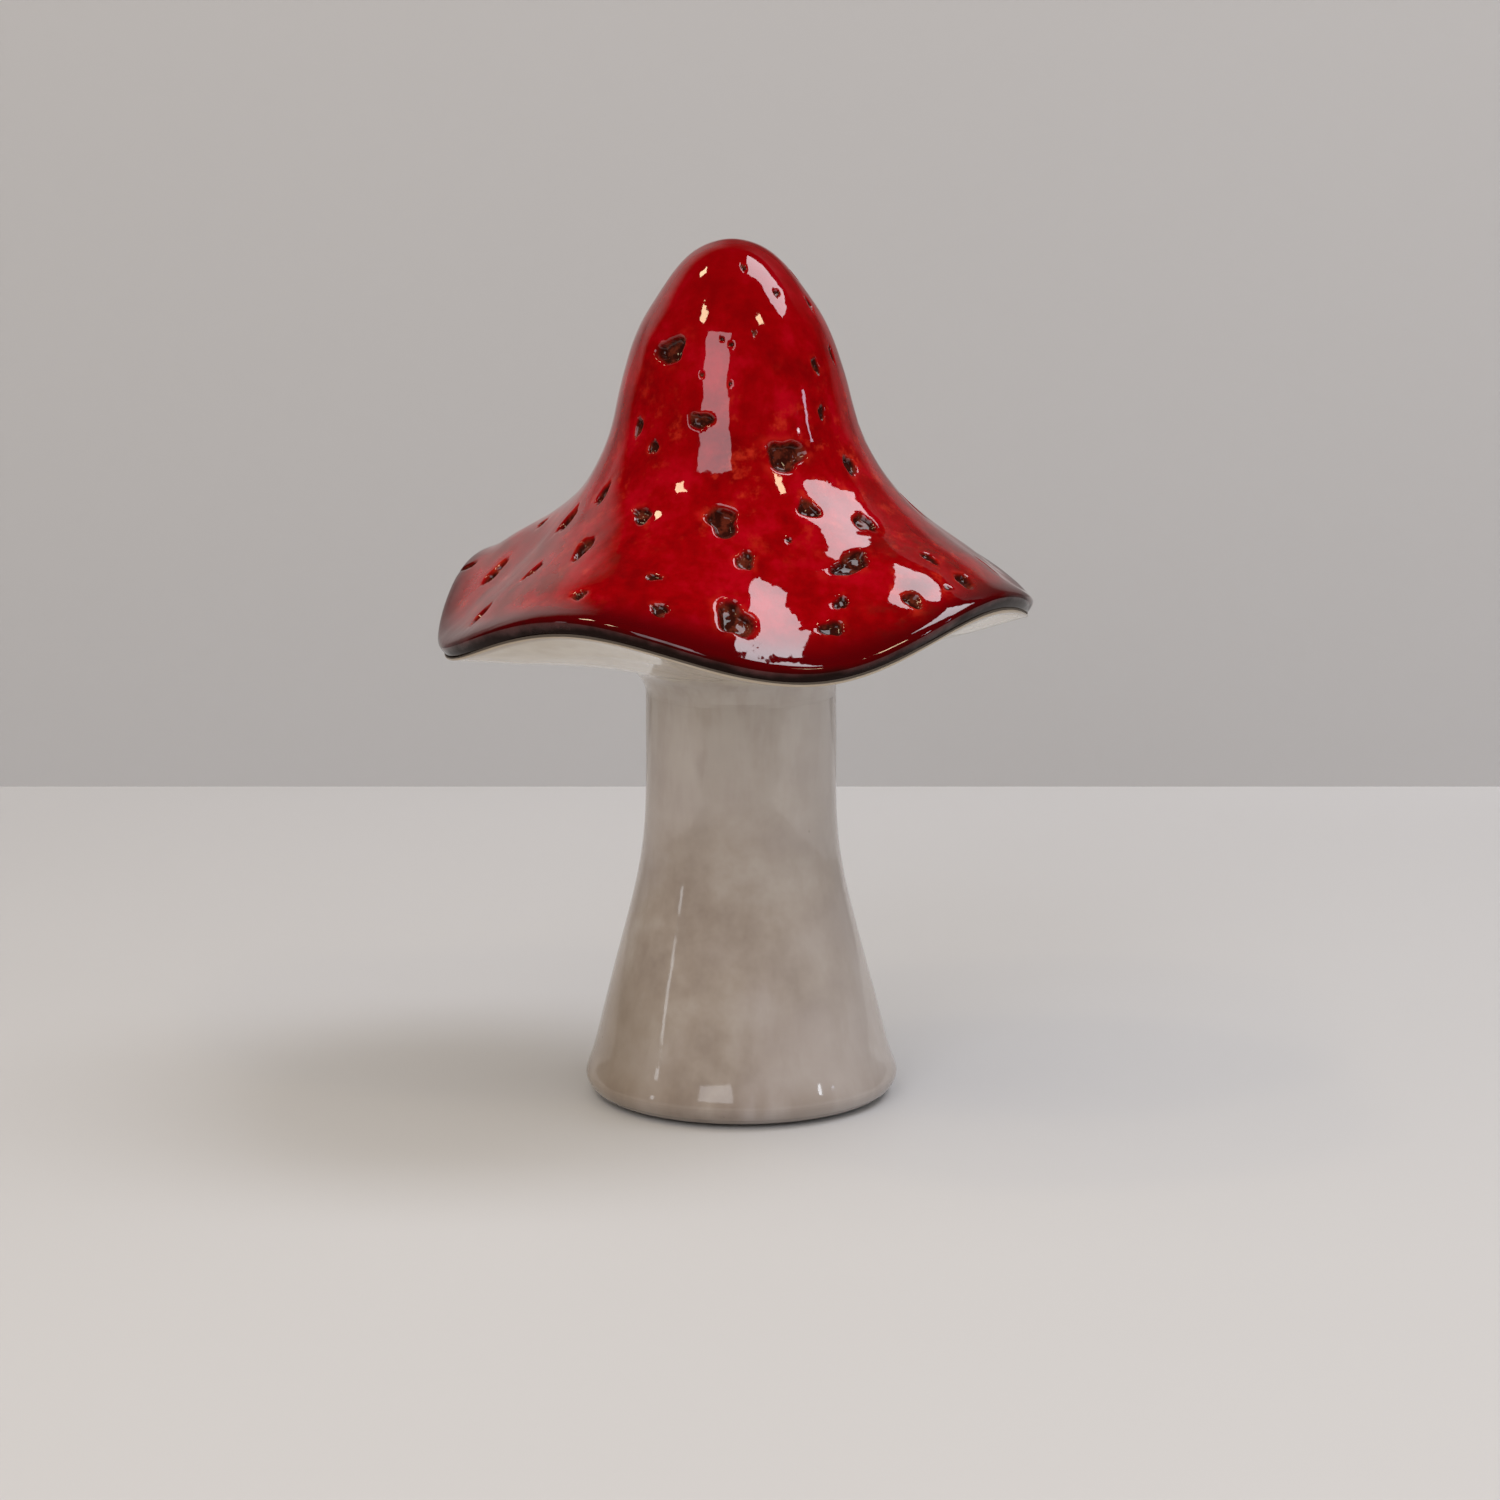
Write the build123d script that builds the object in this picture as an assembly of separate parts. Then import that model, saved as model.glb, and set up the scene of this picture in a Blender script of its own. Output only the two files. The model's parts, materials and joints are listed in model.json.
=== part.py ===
from build123d import *
import math
import os

os.makedirs("parts", exist_ok=True)

# Glazed earthenware mushroom: a tall bell cap with a rippled brim on a flared stem.
# Millimetres, +Z up. The origin is the middle of the foot, on the surface it stands on.
# The side seen in the photograph faces -Y. An azimuth of 0 points to +X, 270 to the front.

# Main sizes
neck_height = 109.5
cap_height = 120.5
cap_radius = 78.5
neck_radius = 25.4
foot_radius = 41.6

# Stem casting
stem_wall = 5.0
flare_angle = 14.5
flare_bend = 126.0
foot_roll = 4.5
foot_dish_depth = 2.5
base_thickness = 5.0
vent_radius = 6.0

# Felt pads under the foot
pad_count = 3
pad_first_azimuth = 90
pad_radius = 4.5
pad_thickness = 0.8
pad_margin = 0.6

# Cap shell: the red upper casting
shell_wall = 4.5
rim_height = 23.7
rim_roll_height = 3.0
rim_inset = 1.6
# The crown comes first. Each point is a share of the cap's radius, and of the rise above the rim.
bell_shares = [
    (0.0, 1.0), (0.112, 0.976), (0.180, 0.930), (0.248, 0.858), (0.311, 0.776), (0.355, 0.684),
    (0.391, 0.582), (0.424, 0.479), (0.472, 0.397), (0.535, 0.325), (0.627, 0.253),
    (0.726, 0.192), (0.840, 0.130), (0.936, 0.075),
]

# Ripple of the brim: it starts at a radius on the bell and grows towards the rim.
ripple_radius = 32.0
ripple_power = 1.2
ripple_rise = 9.4
ripple_reach = 1.6
# Azimuth of each crest and trough, its share of the rise and its share of the reach
ripple_shares = [
    (4, -0.41, -0.25), (60, 0.66, 0.0), (104, -0.64, -0.25), (152, 0.67, 0.25),
    (188, -1.0, 1.0), (237, 0.39, -0.8), (285, -0.85, -0.6), (327, 0.40, 0.25),
]

# Lean of the whole cap on the stem, its +X side higher
cap_tilt = 1.3

# Pits that the glaze pools in
pit_width = 10.0
pit_depth = 2.4
# Azimuth, share of the way from crown to rim, and shares of the width round the bell and down it
pit_shares = [
    (232, 0.30, 0.88, 0.86), (254, 0.44, 0.64, 0.49), (293, 0.51, 1.00, 0.92),
    (266, 0.64, 0.90, 0.84), (237, 0.64, 0.62, 0.56), (297, 0.62, 0.58, 0.58),
    (315, 0.68, 0.52, 0.70), (302, 0.76, 1.10, 0.68), (272, 0.72, 0.53, 0.52),
    (270, 0.86, 0.94, 1.10), (254, 0.89, 0.53, 0.40), (291, 0.88, 0.62, 0.46),
    (310, 0.89, 0.46, 0.54), (222, 0.74, 0.56, 0.86), (195, 0.66, 0.60, 0.90),
    (177, 0.84, 0.60, 0.80), (325, 0.55, 0.42, 0.68), (1, 0.67, 0.64, 0.90),
    (35, 0.60, 0.84, 0.76), (20, 0.84, 0.74, 0.60), (68, 0.48, 0.92, 0.80),
    (75, 0.76, 0.62, 0.66), (98, 0.87, 0.90, 0.74), (112, 0.36, 0.78, 0.70),
    (122, 0.62, 0.66, 0.82), (138, 0.80, 0.86, 0.64), (152, 0.50, 0.60, 0.66),
    (22, 0.38, 0.56, 0.52),
]
# The uneven lip of a pit: its reach at even turns, as shares of half the width
pit_lip_shares = [1.00, 0.82, 0.98, 0.86, 1.06, 0.84, 0.94]
pit_floor_share = 0.62

# Cap underside: the cream lower casting, from the rim in to the neck
underside_wall = 4.5
dish_height = 7.1
rim_bend = 1.8
neck_fillet = 9.0
spigot_length = 9.0
spigot_wall = 3.5

# Slip that lutes the castings together
rim_lute = 0.6
neck_lute = 0.6
lute_recess = 0.5

# How finely the rippled skins are drawn. The bell's skin is made in stretches, each with its
# own rings, and the stretches break at these shares of the way from crown to rim.
break_shares = [0.0, 0.25, 0.45, 0.70, 0.95]
stretch_rings = 3
roll_rings = 4
lining_rings = 6
lining_share = 0.90
ripple_steps = 2
overrun = 12.0
probe_angle = 1.0

seam_radius = cap_radius - rim_inset
land_radius = seam_radius - shell_wall
bore_radius = neck_radius - stem_wall
spigot_radius = bore_radius - neck_lute
throat_radius = spigot_radius - spigot_wall
foot_dish_radius = foot_radius - foot_roll - 2 * pad_radius - 2 * pad_margin
pad_ring_radius = foot_dish_radius + pad_margin + pad_radius
seat_height = rim_height - rim_lute
dish_slope = (seat_height - rim_bend - dish_height) / (seam_radius - neck_radius)

standing = (Align.CENTER, Align.CENTER, Align.MIN)
hanging = (Align.CENTER, Align.CENTER, Align.MAX)


def direction(azimuth):
    return Vector(math.cos(math.radians(azimuth)), math.sin(math.radians(azimuth)), 0)


def ripple(azimuth, column):
    """Share of the ripple at an azimuth, eased from each crest or trough to the next."""
    first = ripple_shares[0][0]
    turned = (azimuth - first) % 360 + first
    following = ripple_shares[1:] + [(first + 360,) + ripple_shares[0][1:]]
    for here, there in zip(ripple_shares, following):
        if turned <= there[0]:
            ease = (1 - math.cos(math.pi * (turned - here[0]) / (there[0] - here[0]))) / 2
            return here[column] + (there[column] - here[column]) * ease


def brim_point(radius, height, azimuth):
    """A point of the cap: the round form, moved up and outwards by the ripple."""
    growth = max(radius - ripple_radius, 0) / (seam_radius - ripple_radius)
    weight = growth ** ripple_power
    reach = radius + weight * ripple_reach * ripple(azimuth, 2)
    rise = height + weight * ripple_rise * ripple(azimuth, 1)
    return direction(azimuth) * reach + Vector(0, 0, rise)


def ring(radius, height):
    """A closed curve through every crest and trough, and through even steps between them."""
    azimuths = [crest[0] for crest in ripple_shares] + [ripple_shares[0][0] + 360]
    points = []
    for here, there in zip(azimuths, azimuths[1:]):
        for step in range(ripple_steps):
            azimuth = here + (there - here) * step / ripple_steps
            points.append(brim_point(radius, height, azimuth))
    return Wire([Edge.make_spline(points, periodic=True)])


def skin(places, ruled=False):
    """A skin through rings, closed at the crown where a place lies on the axis."""
    sections = [ring(radius, height) if radius > 0 else Vertex(0, 0, height)
                for radius, height in places]
    return Shell.make_loft(sections, ruled=ruled)


def band(*places):
    """Straight bands from ring to ring."""
    return skin(places, ruled=True)


def solid_of(*shells):
    faces = [face for shell in shells for face in shell.faces()]
    return Solid(Shell(faces))


def tube(outer, inner, length):
    """An upright tube that hangs down from the plane z = 0."""
    return Cylinder(outer, length, align=hanging) - Cylinder(inner, length, align=hanging)


def turned(line):
    """Closes a profile to the axis and turns it into a solid."""
    start = line @ 0
    end = line @ 1
    closing = Polyline((end.X, 0, end.Z), (0, 0, end.Z), (0, 0, start.Z), (start.X, 0, start.Z))
    return revolve(make_face(line + closing), Axis.Z)


def lean(shape):
    """Carries a piece of the cap from its own upright frame to the neck, leaning."""
    return Pos(0, 0, neck_height) * Rot(0, -cap_tilt, 0) * shape


def bell_profile():
    rise = cap_height - rim_height
    points = [Vector(cap_radius * across, 0, rim_height + rise * up) for across, up in bell_shares]
    points.append(Vector(cap_radius, 0, rim_height + rim_roll_height))
    points.append(Vector(seam_radius, 0, rim_height))
    return Edge.make_spline(points)


def inward(profile, share, wall):
    """Radius and height of the point that lies a wall's thickness inside the profile."""
    point = profile @ share
    along = profile % share
    return point.X + along.Z * wall, point.Z - along.X * wall


def places_along(line, rings, start=0.0, end=1.0):
    """Radius and height of evenly spaced points along a line, or along a part of it."""
    points = [line @ (start + (end - start) * number / rings) for number in range(rings + 1)]
    return [(point.X, point.Z) for point in points]


def make_cap_shell():
    profile = bell_profile()
    crown, *flank = [
        places_along(profile, stretch_rings, start, end)
        for start, end in zip(break_shares, break_shares[1:])
    ]
    crown[0] = (0, cap_height)
    roll = places_along(profile, roll_rings, break_shares[-1])
    lining = [
        inward(profile, lining_share * number / lining_rings, shell_wall)
        for number in range(1, lining_rings + 1)
    ]
    land = (land_radius, rim_height)
    shell = solid_of(
        skin(crown),
        *[skin(stretch) for stretch in flank],
        band(*roll, land),
        band((0, cap_height - shell_wall), *lining, land),
    )
    pits = [pit_cutter(profile, *pit) for pit in pit_shares]
    return lean(shell - pits)


def pit_cutter(profile, azimuth, share, width_share, length_share):
    """A tapered plug with an uneven outline, set into the bell's skin along its normal."""
    here = profile @ share
    along = profile % share
    centre = brim_point(here.X, here.Z, azimuth)
    down = brim_point(here.X + along.X, here.Z + along.Z, azimuth) - centre
    round_way = brim_point(here.X, here.Z, azimuth + probe_angle) - centre
    surface = Plane(centre, x_dir=round_way, z_dir=down.cross(round_way))
    depth = pit_depth * min(width_share, length_share)
    lip = []
    for number, reach_share in enumerate(pit_lip_shares):
        turn = direction(azimuth + number * 360 / len(pit_lip_shares))
        lip.append((turn.X * reach_share * width_share, turn.Y * reach_share * length_share))
    levels = [(-depth, pit_floor_share), (depth, 2 - pit_floor_share)]
    outlines = []
    for height, size_share in levels:
        size = size_share * pit_width / 2
        points = [surface.from_local_coords((x * size, y * size, height)) for x, y in lip]
        outlines.append(Wire.make_polygon(points))
    return Solid.make_loft(outlines, ruled=True)


def dish_line(radius):
    """Height of the underside's straight slope, seen from below."""
    return dish_height + (radius - neck_radius) * dish_slope


def make_cap_underside():
    """A rippled dish with a collar that stands on the stem, and a spigot inside it."""
    lower = FilletPolyline(
        (seam_radius, 0, seat_height),
        (seam_radius, 0, dish_line(seam_radius)),
        (neck_radius, 0, dish_height),
        (neck_radius, 0, -overrun),
        radius=[rim_bend, neck_fillet],
    )
    stretches = [places_along(edge, stretch_rings) for edge in lower.order_edges()]
    lift = underside_wall * math.hypot(1, dish_slope)
    upper = Line((land_radius, 0, seat_height), (0, 0, dish_line(0) + lift))
    dish = solid_of(
        *[band(*stretch) for stretch in stretches],
        band(stretches[-1][-1], (0, -overrun)),
        band((seam_radius, seat_height), *places_along(upper, lining_rings)),
    )
    shoulder = neck_height + neck_lute
    end = neck_height - spigot_length
    waste = Pos(0, 0, shoulder) * Cylinder(cap_radius, cap_height, align=hanging)
    spigot = Pos(0, 0, end) * Cylinder(spigot_radius, shoulder - end, align=standing)
    throat = Pos(0, 0, end) * Cylinder(throat_radius, spigot_length + rim_height, align=standing)
    return lean(dish) - waste + spigot - throat


def make_rim_lute():
    """The ring of slip between the lands of the two cap castings."""
    high = rim_height
    low = rim_height - rim_lute
    return lean(solid_of(
        band((land_radius, high), (seam_radius, high)),
        band((seam_radius, high), (seam_radius, low)),
        band((seam_radius, low), (land_radius, low)),
        band((land_radius, low), (land_radius, high)),
    ))


def make_neck_lute():
    """A sleeve of slip round the spigot, and a washer of it on top of the stem."""
    sleeve = Pos(0, 0, neck_height) * tube(bore_radius, spigot_radius, spigot_length)
    washer = Pos(0, 0, neck_height + neck_lute) * tube(
        neck_radius - lute_recess, spigot_radius, neck_lute
    )
    return sleeve + washer


def stem_corners(inset, floor):
    """Corners of the stem's profile, from its floor to its neck, moved inwards by a wall."""
    flank = math.radians(flare_angle)
    roll_centre = foot_radius - foot_roll
    flank_radius = roll_centre + (foot_roll - inset) / math.cos(flank)
    axis_height = pad_thickness + foot_roll
    floor_radius = flank_radius + (axis_height - floor) * math.tan(flank)
    bend_height = axis_height + (flank_radius - neck_radius + inset) / math.tan(flank)
    return [
        (floor_radius, 0, floor),
        (neck_radius - inset, 0, bend_height),
        (neck_radius - inset, 0, neck_height),
    ]


def make_stem():
    """A flared tube, closed at its base, with a hollowed foot and a vent hole."""
    floor = pad_thickness + foot_dish_depth + base_thickness
    outside = turned(FilletPolyline(*stem_corners(0, pad_thickness), radius=flare_bend))
    outside = fillet(outside.edges().group_by(Axis.Z)[0], foot_roll)
    hollow = turned(Polyline(*stem_corners(stem_wall, floor)))
    foot_dish = Cylinder(foot_dish_radius, foot_dish_depth, align=standing)
    vent = Cylinder(vent_radius, floor, align=standing)
    return outside - hollow - Pos(0, 0, pad_thickness) * (foot_dish + vent)


def make_foot_pads():
    """Felt pads, evenly spaced under the flat of the foot ring."""
    pad = Cylinder(pad_radius, pad_thickness, align=standing)
    pads = []
    for number in range(pad_count):
        azimuth = pad_first_azimuth + number * 360 / pad_count
        pads.append(Pos(*(direction(azimuth) * pad_ring_radius)) * pad)
    return Compound(pads)


export_step(make_cap_shell(), "parts/cap_shell.step")
export_step(make_cap_underside(), "parts/cap_underside.step")
export_step(make_rim_lute(), "parts/rim_lute.step")
export_step(make_stem(), "parts/stem.step")
export_step(make_neck_lute(), "parts/neck_lute.step")
export_step(make_foot_pads(), "parts/foot_pads.step")
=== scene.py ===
# %% [markdown]
# A glazed ceramic mushroom, built piece by piece on top of its CAD frame.
# The ornament is slip-cast earthenware: a tall bell cap with a rippled brim on a flared stem.
# Everything is in metres, with +Z up and the side that the photograph shows facing -Y.
# The first cell imports the CAD model. It gives the exact places that every piece has to keep.

# %% Load the CAD frame
import json
import math

import bpy
import numpy as np
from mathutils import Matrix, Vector

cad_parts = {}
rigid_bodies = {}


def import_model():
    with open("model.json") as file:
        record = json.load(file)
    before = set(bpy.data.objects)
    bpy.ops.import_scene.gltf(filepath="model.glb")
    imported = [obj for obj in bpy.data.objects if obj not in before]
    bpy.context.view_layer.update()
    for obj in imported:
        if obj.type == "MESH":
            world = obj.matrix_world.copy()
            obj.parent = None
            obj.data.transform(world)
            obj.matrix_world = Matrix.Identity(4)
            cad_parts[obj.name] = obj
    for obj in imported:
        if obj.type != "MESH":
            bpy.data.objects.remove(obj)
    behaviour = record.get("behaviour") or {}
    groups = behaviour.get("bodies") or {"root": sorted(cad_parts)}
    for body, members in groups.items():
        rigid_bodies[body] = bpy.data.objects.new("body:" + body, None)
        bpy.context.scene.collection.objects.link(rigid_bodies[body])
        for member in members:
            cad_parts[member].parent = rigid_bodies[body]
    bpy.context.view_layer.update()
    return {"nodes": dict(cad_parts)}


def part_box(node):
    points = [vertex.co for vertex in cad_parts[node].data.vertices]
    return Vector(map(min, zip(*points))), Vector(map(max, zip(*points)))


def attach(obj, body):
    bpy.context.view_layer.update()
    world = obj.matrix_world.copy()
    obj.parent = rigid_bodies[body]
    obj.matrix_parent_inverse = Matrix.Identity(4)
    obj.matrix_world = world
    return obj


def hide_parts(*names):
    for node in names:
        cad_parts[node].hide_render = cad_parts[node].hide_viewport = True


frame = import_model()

print("CAD nodes:", ", ".join(sorted(frame["nodes"])))

# %% [markdown]
# Rounded ceramic pieces are easiest to describe as outlines that are swept round an axis.
# A smooth outline can be a natural cubic spline through a few points. It is the curve that a thin
# springy ruler would take, so it has no flats or kinks between the points. It is then cut into
# even steps, because even quads shade best under a glossy glaze. Outlines are in millimetres.

# %% Smooth outlines
MM = 0.001


def spline(points, samples=4000):
    """A natural cubic spline through points, sampled densely."""
    points = np.array(points, float)
    knots = np.concatenate([[0], np.cumsum(np.linalg.norm(np.diff(points, axis=0), axis=1))])
    gaps = np.diff(knots)
    slopes = np.diff(points, axis=0) / gaps[:, None]
    matrix = np.eye(len(points))
    target = np.zeros_like(points)
    for i in range(1, len(points) - 1):
        matrix[i, i - 1 : i + 2] = gaps[i - 1], 2 * (gaps[i - 1] + gaps[i]), gaps[i]
        target[i] = 6 * (slopes[i] - slopes[i - 1])
    bend = np.linalg.solve(matrix, target)
    at = np.linspace(0, knots[-1], samples)
    i = np.clip(np.searchsorted(knots, at) - 1, 0, len(gaps) - 1)
    run, gap = (at - knots[i])[:, None], gaps[i][:, None]
    start_slope = slopes[i] - gap * (2 * bend[i] + bend[i + 1]) / 6
    cubic = (bend[i + 1] - bend[i]) * run**3 / (6 * gap)
    return points[i] + run * start_slope + bend[i] * run**2 / 2 + cubic


def even(line, step):
    """The same line, cut into even steps of about this length."""
    along = np.concatenate([[0], np.cumsum(np.linalg.norm(np.diff(line, axis=0), axis=1))])
    at = np.linspace(0, along[-1], max(2, round(along[-1] / step) + 1))
    return np.stack([np.interp(at, along, line[:, 0]), np.interp(at, along, line[:, 1])], 1)


arch = even(spline([(0, 0), (10, 6), (20, 0)]), 1.0)
print(f"A spline over three points, 20 mm wide, takes {len(arch)} points at 1 mm steps")

# %% [markdown]
# A turned outline is straight runs with an arc at each corner. Smooth shading bends a flat part
# where it meets an arc. An extra row of points close to each corner keeps the flat part flat.
# An arc touches both runs, so its centre lies on the corner's middle line.

# %% One rounded corner
# An arc has at least this many steps
ARC_STEPS = 4


def arc(before, corner, after, bend, step):
    """The points of an arc that rounds a corner."""
    back, on = before - corner, after - corner
    back, on = back / np.linalg.norm(back), on / np.linalg.norm(on)
    half = math.acos(np.clip(back @ on, -1, 1)) / 2
    middle = (back + on) / np.linalg.norm(back + on)
    centre = corner + middle * bend / math.sin(half)
    start = corner + back * bend / math.tan(half) - centre
    end = corner + on * bend / math.tan(half) - centre
    turn = math.pi - 2 * half
    shares = np.linspace(0, 1, max(ARC_STEPS, math.ceil(bend * turn / step)) + 1)[:, None]
    return centre + (np.sin((1 - shares) * turn) * start + np.sin(shares * turn) * end) / math.sin(turn)


quarter = arc(np.array([0.0, 0.0]), np.array([10.0, 0.0]), np.array([10.0, 10.0]), 2.0, 1.0)
print(f"An arc of 2 mm round a square corner starts at {quarter[0].round(2)} in {len(quarter)} points")

# %% [markdown]
# With the arcs in place, the runs between them are filled with points, and the rows close to the
# corners are added.

# %% Outlines with rounded corners
# How close to a corner the extra row lies, and how long a run has to be to get it
CORNER_ROW, LONG_RUN = 0.06, 0.4


def rounded(corners, step):
    """Straight runs with an arc at each inner corner. A corner is (radius, height, bend)."""
    places = [np.array(corner[:2], float) for corner in corners]
    points = [places[0][None]]
    for i in range(1, len(places) - 1):
        points.append(arc(places[i - 1], places[i], places[i + 1], corners[i][2], step))
    points = np.concatenate(points + [places[-1][None]])
    line = [points[:1]]
    for start, end in zip(points, points[1:]):
        length = np.linalg.norm(end - start)
        shares = np.linspace(0, 1, max(1, math.ceil(length / step)) + 1)[1:]
        if length > LONG_RUN:
            extra = CORNER_ROW / length
            shares = np.sort(np.concatenate([shares, [extra, 1 - extra]]))
        line.append(start + (end - start) * shares[:, None])
    return np.concatenate(line)


corner = rounded([(0, 0, 0), (10, 0, 2), (10, 10, 0)], 1.0)
print(f"A square corner with a 2 mm bend takes {len(corner)} points at 1 mm steps")

# %% [markdown]
# The brim's ripple is eight crests and troughs at azimuths measured on the photograph. Between
# them it eases like a cosine, which is how a soft clay edge settles. It fades out up the bell.

# %% Ripple of the brim
CAP_RADIUS, CAP_HEIGHT = 78.5, 120.5
RIM_HEIGHT, RIM_INSET, RIM_ROLL = 23.7, 1.6, 3.0
SEAM_RADIUS = CAP_RADIUS - RIM_INSET
RIPPLE_RADIUS, RIPPLE_POWER = 32.0, 1.2
RIPPLE_RISE, RIPPLE_REACH = 9.4, 1.6
# Azimuth of each crest or trough, its share of the rise and its share of the reach
RIPPLES = np.array([
    (4, -0.41, -0.25), (60, 0.66, 0.0), (104, -0.64, -0.25), (152, 0.67, 0.25),
    (188, -1.0, 1.0), (237, 0.39, -0.8), (285, -0.85, -0.6), (327, 0.40, 0.25),
])


def ripple(azimuths, column):
    """The ripple's share at each azimuth in degrees."""
    loop = np.concatenate([RIPPLES, RIPPLES[:1] + [360, 0, 0]])
    turned_by = (azimuths - loop[0, 0]) % 360 + loop[0, 0]
    i = np.clip(np.searchsorted(loop[:, 0], turned_by, side="right") - 1, 0, len(RIPPLES) - 1)
    ease = (1 - np.cos(np.pi * (turned_by - loop[i, 0]) / (loop[i + 1, 0] - loop[i, 0]))) / 2
    return loop[i, column] + (loop[i + 1, column] - loop[i, column]) * ease


def rippled(line, columns):
    """Sweeps an outline round the axis and ripples it: rows of points in the cap's own frame."""
    azimuths = np.arange(columns) * 360 / columns
    radius, height = line[:, :1], line[:, 1:]
    growth = np.clip((radius - RIPPLE_RADIUS) / (SEAM_RADIUS - RIPPLE_RADIUS), 0, None)
    weight = growth**RIPPLE_POWER
    reach = radius + weight * RIPPLE_REACH * ripple(azimuths, 2)
    rise = height + weight * RIPPLE_RISE * ripple(azimuths, 1)
    angles = np.radians(azimuths)
    return np.stack([reach * np.cos(angles), reach * np.sin(angles), rise], -1)


crest, trough = RIPPLE_RISE * RIPPLES[:, 1].max(), RIPPLE_RISE * RIPPLES[:, 1].min()
print(f"The brim's crests rise up to {crest:.1f} mm and its troughs drop to {trough:.1f} mm")

# %% [markdown]
# The whole cap leans a little on the stem, its +X side higher. The cap is shaped upright in its own
# frame, which keeps the sums simple, and a last step leans every point and carries it to the neck.

# %% Lean of the cap
NECK_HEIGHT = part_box("stem")[1][2] / MM
CAP_TILT = math.radians(1.3)


def lean(points, share=1.0):
    """Carries cap points to the neck. A share of 0 keeps them upright, 1 leans them fully."""
    x, y, z = points[..., 0], points[..., 1], points[..., 2]
    tilt = CAP_TILT * share
    leaned = [x * np.cos(tilt) - z * np.sin(tilt), y, x * np.sin(tilt) + z * np.cos(tilt)]
    return np.stack(leaned, -1) + [0, 0, NECK_HEIGHT]


print(f"The cap sits at {NECK_HEIGHT:.1f} mm and leans {math.degrees(CAP_TILT):.1f} degrees")

# %% [markdown]
# Nothing hand-made is perfectly even, so a soft wobble built from a few long waves moves each skin
# along its normals, by a tenth of a millimetre or two. A displacement texture could do it too, but
# a sum of seeded waves comes out the same each time, and real shape makes reflections waver best.

# %% Unevenness by hand
# How many waves, how much their lengths differ, and what their sum mostly stays under
WAVES, WAVE_SPREAD, WAVE_SUM = 7, (0.7, 1.5), 3.2


def normals_of(grid, closed):
    """Outward normals of a grid of points."""
    if closed:
        along = np.roll(grid, -1, 0) - np.roll(grid, 1, 0)
    else:
        along = np.gradient(grid, axis=0)
    around = np.roll(grid, -1, 1) - np.roll(grid, 1, 1)
    normal = np.cross(along, around)
    return normal / np.maximum(np.linalg.norm(normal, axis=-1, keepdims=True), 1e-9)


def wobble(points, size, seed):
    """A soft unevenness, mostly between -1 and 1, with humps of about this size."""
    rng = np.random.default_rng(seed)
    total = np.zeros(points.shape[:-1])
    for _ in range(WAVES):
        wave = rng.normal(size=3)
        wave *= 2 * np.pi / (size * rng.uniform(*WAVE_SPREAD) * 2 * np.linalg.norm(wave))
        total += np.sin(points @ wave + rng.uniform(0, 2 * np.pi))
    return total / WAVE_SUM


def unevenness(points, humps):
    """Several wobbles in one. Each is (height, size, seed)."""
    return sum(height * wobble(points, size, seed) for height, size, seed in humps)


sample = unevenness(np.arange(600.0).reshape(-1, 3), [(0.1, 20, 1)])
print(f"A wobble 0.1 mm high stays between {sample.min():.2f} and {sample.max():.2f} mm here")

# %% [markdown]
# Each piece becomes one mesh of quads: rows along its outline, columns round the axis.
# Some outlines close on themselves, like the stem's, which goes down the outside and up the inside.
# Others start and end on the axis, and there a fan of triangles closes the skin.
# A mask is a number on each point. The mesh carries it to the material, where it guides a colour.

# %% Sweeping outlines into meshes
def turned(line, columns):
    """Sweeps an outline round the axis: rows of points."""
    angles = np.radians(np.arange(columns) * 360 / columns)
    radius, height = line[:, :1], line[:, 1:]
    return np.stack([radius * np.cos(angles), radius * np.sin(angles), height * np.ones(columns)], -1)


def skin(name, grid, closed, masks=None):
    """A mesh object from rows and columns of points in millimetres."""
    rows, columns = grid.shape[:2]
    index = np.arange(rows * columns).reshape(rows, columns)
    beside = np.roll(index, -1, 1)
    if closed:
        quads = np.stack([index, np.roll(index, -1, 0), np.roll(beside, -1, 0), beside], -1)
        points, fans = grid.reshape(-1, 3), []
    else:
        quads = np.stack([index[:-1], index[1:], beside[1:], beside[:-1]], -1)
        poles = np.stack([grid[0].mean(0), grid[-1].mean(0)])
        points = np.concatenate([grid.reshape(-1, 3), poles])
        top, bottom = len(points) - 2, len(points) - 1
        fans = [(top, a, b) for a, b in zip(index[0].tolist(), beside[0].tolist())]
        fans += [(bottom, b, a) for a, b in zip(index[-1].tolist(), beside[-1].tolist())]
    mesh = bpy.data.meshes.new(name)
    mesh.from_pydata((points * MM).tolist(), [], quads.reshape(-1, 4).tolist() + fans)
    mesh.shade_smooth()
    for mask, values in (masks or {}).items():
        values = np.concatenate([values.ravel(), values[0, :1], values[-1, :1]])[: len(points)]
        mesh.attributes.new(mask, "FLOAT", "POINT").data.foreach_set("value", values)
    piece = bpy.data.objects.new(name, mesh)
    bpy.context.scene.collection.objects.link(piece)
    print(f"{name}: {len(mesh.vertices)} points, {len(mesh.polygons)} faces")
    return piece


print("An outline of 2 points swept in 8 columns:", turned(np.ones((2, 2)), 8).shape)

# %% [markdown]
# The cap's upper casting is the showpiece. Its bell is a spline from the crown to the rim, through
# points measured on the photograph. It is mirrored over the crown, so that the top is smooth.
# The skin goes from the crown down to the rim, under its rolled edge, and back up inside,
# because the casting is a hollow shell 4.5 mm thick. The hidden inside can do with longer steps.

# %% Outline of the bell
WALL = 4.5
BELL_STEP, INSIDE_STEP, LAND_STEP = 0.5, 3.0, 1.5
# How close to the axis the outer and the inner skin come
OUTER_POLE, INNER_POLE = 0.05, 0.5
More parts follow.
